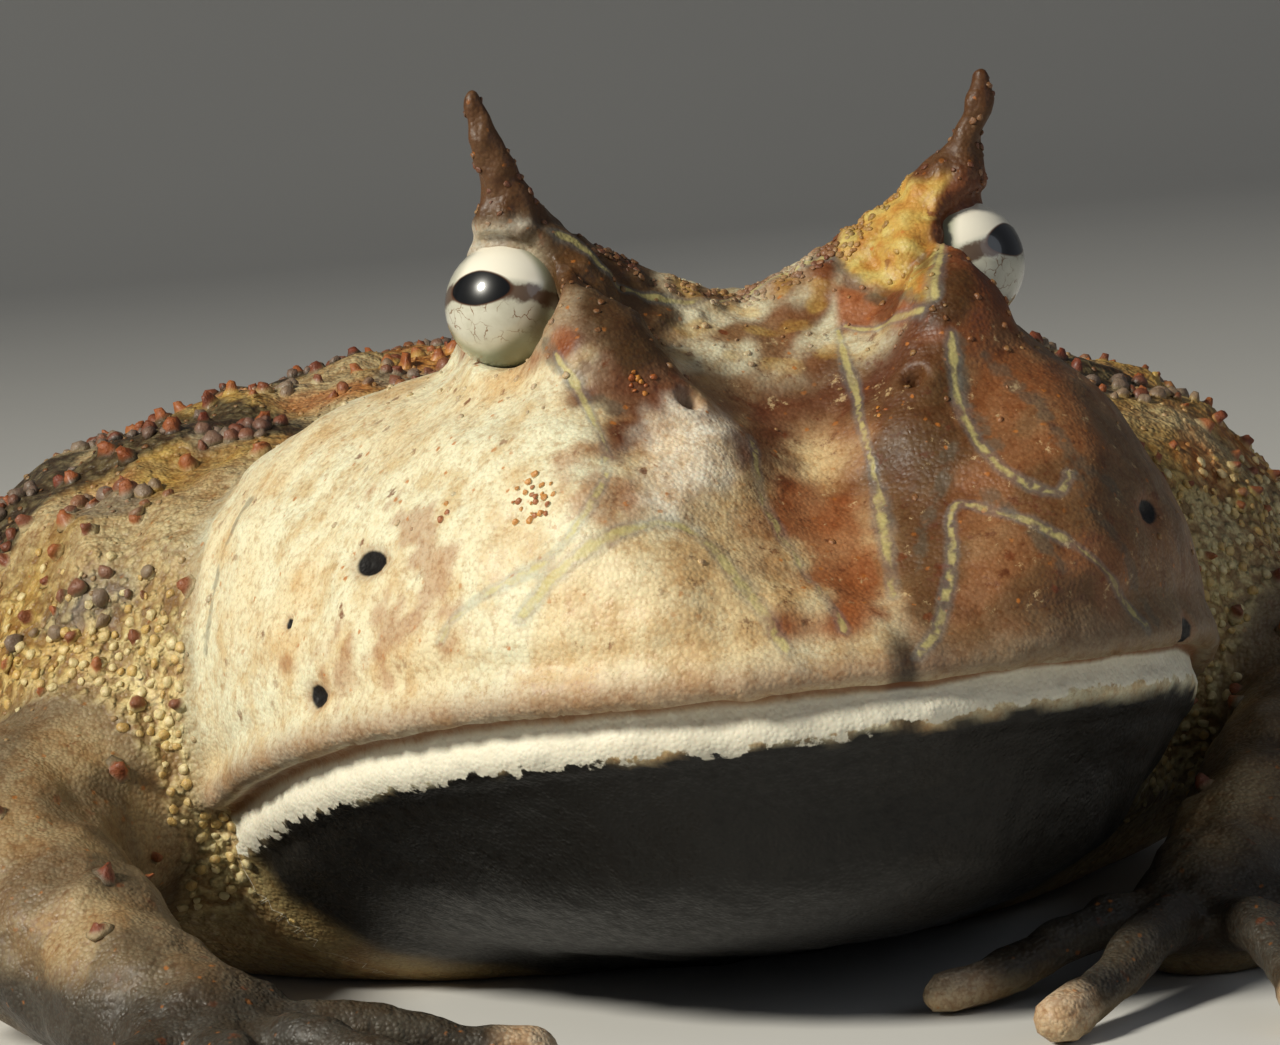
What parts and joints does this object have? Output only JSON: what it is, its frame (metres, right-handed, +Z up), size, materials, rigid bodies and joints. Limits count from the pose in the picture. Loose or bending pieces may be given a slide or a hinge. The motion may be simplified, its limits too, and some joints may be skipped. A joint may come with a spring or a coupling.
{
  "type": "amazonian horned frog",
  "caption": "Life-size horned frog sitting flat, with a very wide mouth, a pointed horn on each eyelid, warty back and folded legs.",
  "frame": {"origin": "on the floor under the middle of the frog's bounding box", "axes": "+Z up, the snout points to -Y, the frog's own left side is +X"},
  "size_m": [0.106, 0.1128, 0.0474],
  "materials": {
    "face_skin": "moist granular skin, cream and rust",
    "back_skin": "dry warty skin, cream yellow with rust warts",
    "leg_skin": "granular skin, grey brown",
    "throat_skin": "granular skin, dark under a cream lip",
    "eye": "wet gloss"
  },
  "bodies": {
    "root": {"head": "face_skin", "jaw": "throat_skin", "torso": "back_skin", "eye_left": "eye", "horn_left": "face_skin", "upper_arm_left": "leg_skin", "forearm_left": "leg_skin", "hand_left": "leg_skin", "thigh_left": "leg_skin", "shank_left": "leg_skin", "foot_left": "leg_skin", "eye_right": "eye", "horn_right": "face_skin", "upper_arm_right": "leg_skin", "forearm_right": "leg_skin", "hand_right": "leg_skin", "thigh_right": "leg_skin", "shank_right": "leg_skin", "foot_right": "leg_skin"}
  },
  "joints": []
}
